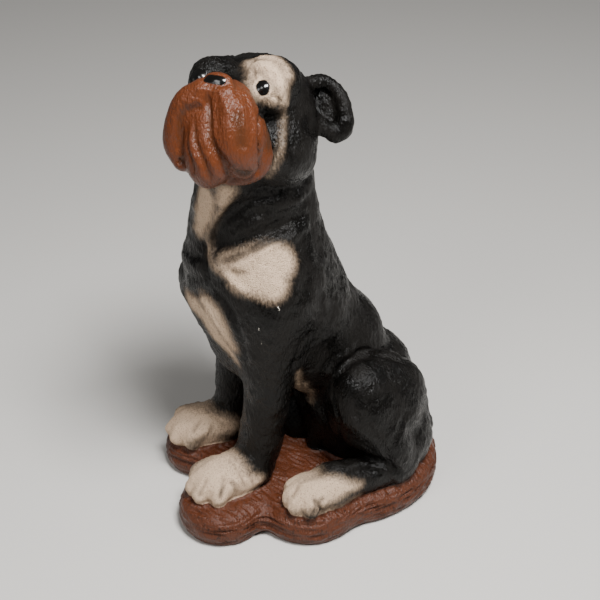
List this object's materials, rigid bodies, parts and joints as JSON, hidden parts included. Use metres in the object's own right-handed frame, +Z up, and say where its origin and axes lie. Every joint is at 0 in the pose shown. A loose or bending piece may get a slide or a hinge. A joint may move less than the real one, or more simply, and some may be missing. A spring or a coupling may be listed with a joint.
{
  "type": "garden statue of a seated bulldog",
  "caption": "Seated bulldog garden statue, head turned and lifted, cast in one with its rough lobed slab.",
  "frame": {"origin": "middle of the footprint, on the floor under the slab", "axes": "+Z up; the dog sits facing -Y, with its left side on +X"},
  "size_m": [0.2862, 0.332, 0.5505],
  "materials": {
    "painted_concrete": "hand-painted cast concrete: glossy black coat, cream patches, red-brown muzzle and slab"
  },
  "bodies": {
    "root": {"bulldog_statue": "painted_concrete"}
  },
  "joints": []
}
